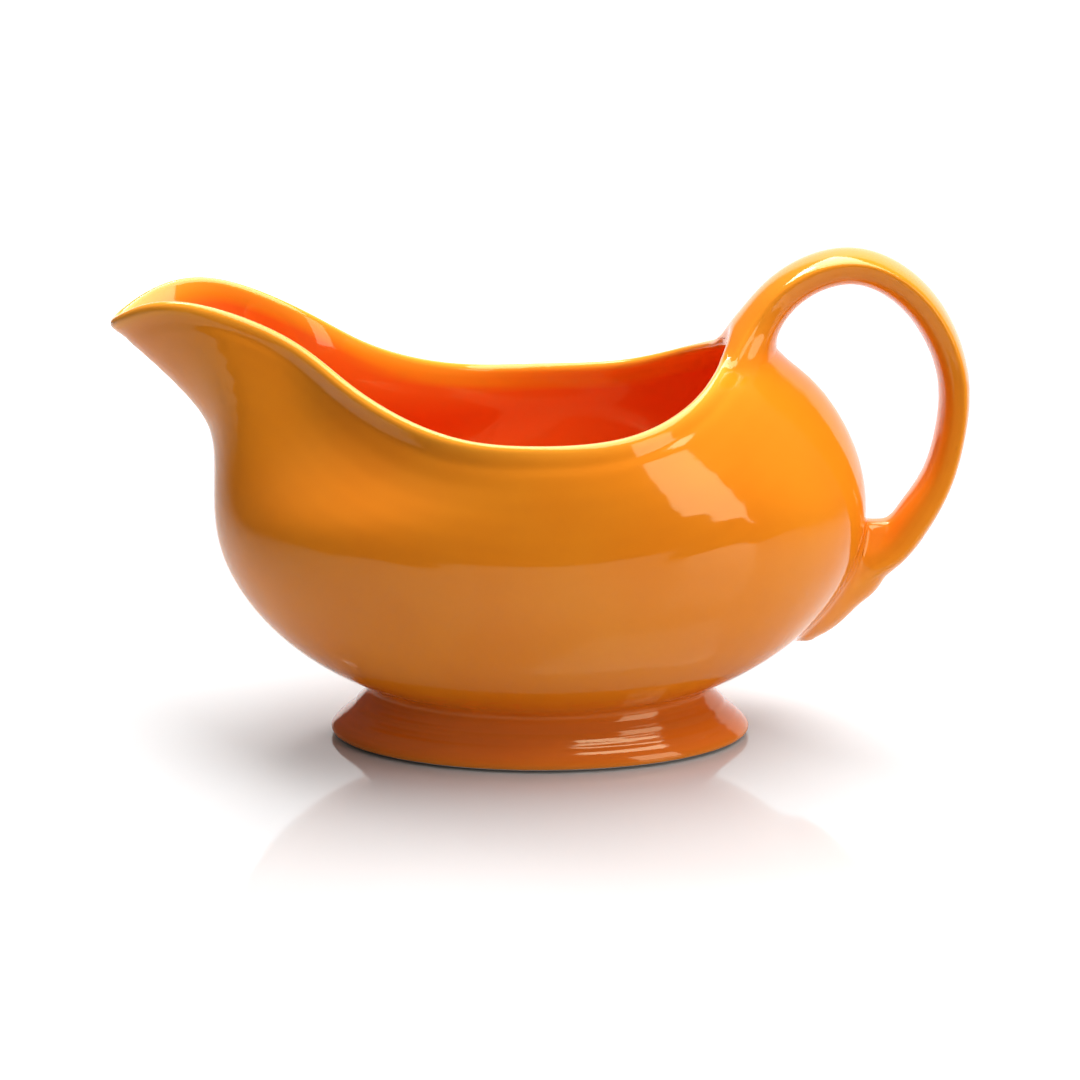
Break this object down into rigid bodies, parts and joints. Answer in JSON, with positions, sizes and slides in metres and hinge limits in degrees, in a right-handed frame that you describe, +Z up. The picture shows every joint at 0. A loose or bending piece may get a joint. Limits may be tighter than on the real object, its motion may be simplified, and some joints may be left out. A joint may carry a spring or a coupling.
{
  "type": "gravy boat",
  "caption": "Footed ceramic gravy boat: an oval bowl drawn out into a raised pouring spout, on a flared oval foot, with a high loop strap handle at the back.",
  "frame": {"origin": "middle of the oval foot, on the surface that the boat stands on", "axes": "+X towards the handle, -X towards the spout, +Y across the bowl, +Z up"},
  "size_m": [0.2184, 0.108, 0.1282],
  "materials": {
    "glaze": "glossy tangerine glaze, thinner and more golden on edges",
    "bare_clay": "unglazed pale fired clay, ground flat where it stands",
    "slip_clay": "fired luting slip, hidden under the glaze"
  },
  "bodies": {
    "root": {"bowl": "glaze", "foot": "glaze", "foot_rim": "bare_clay", "foot_slip_joint": "slip_clay", "handle": "glaze", "upper_slip_joint": "slip_clay", "lower_slip_joint": "slip_clay"}
  },
  "joints": []
}
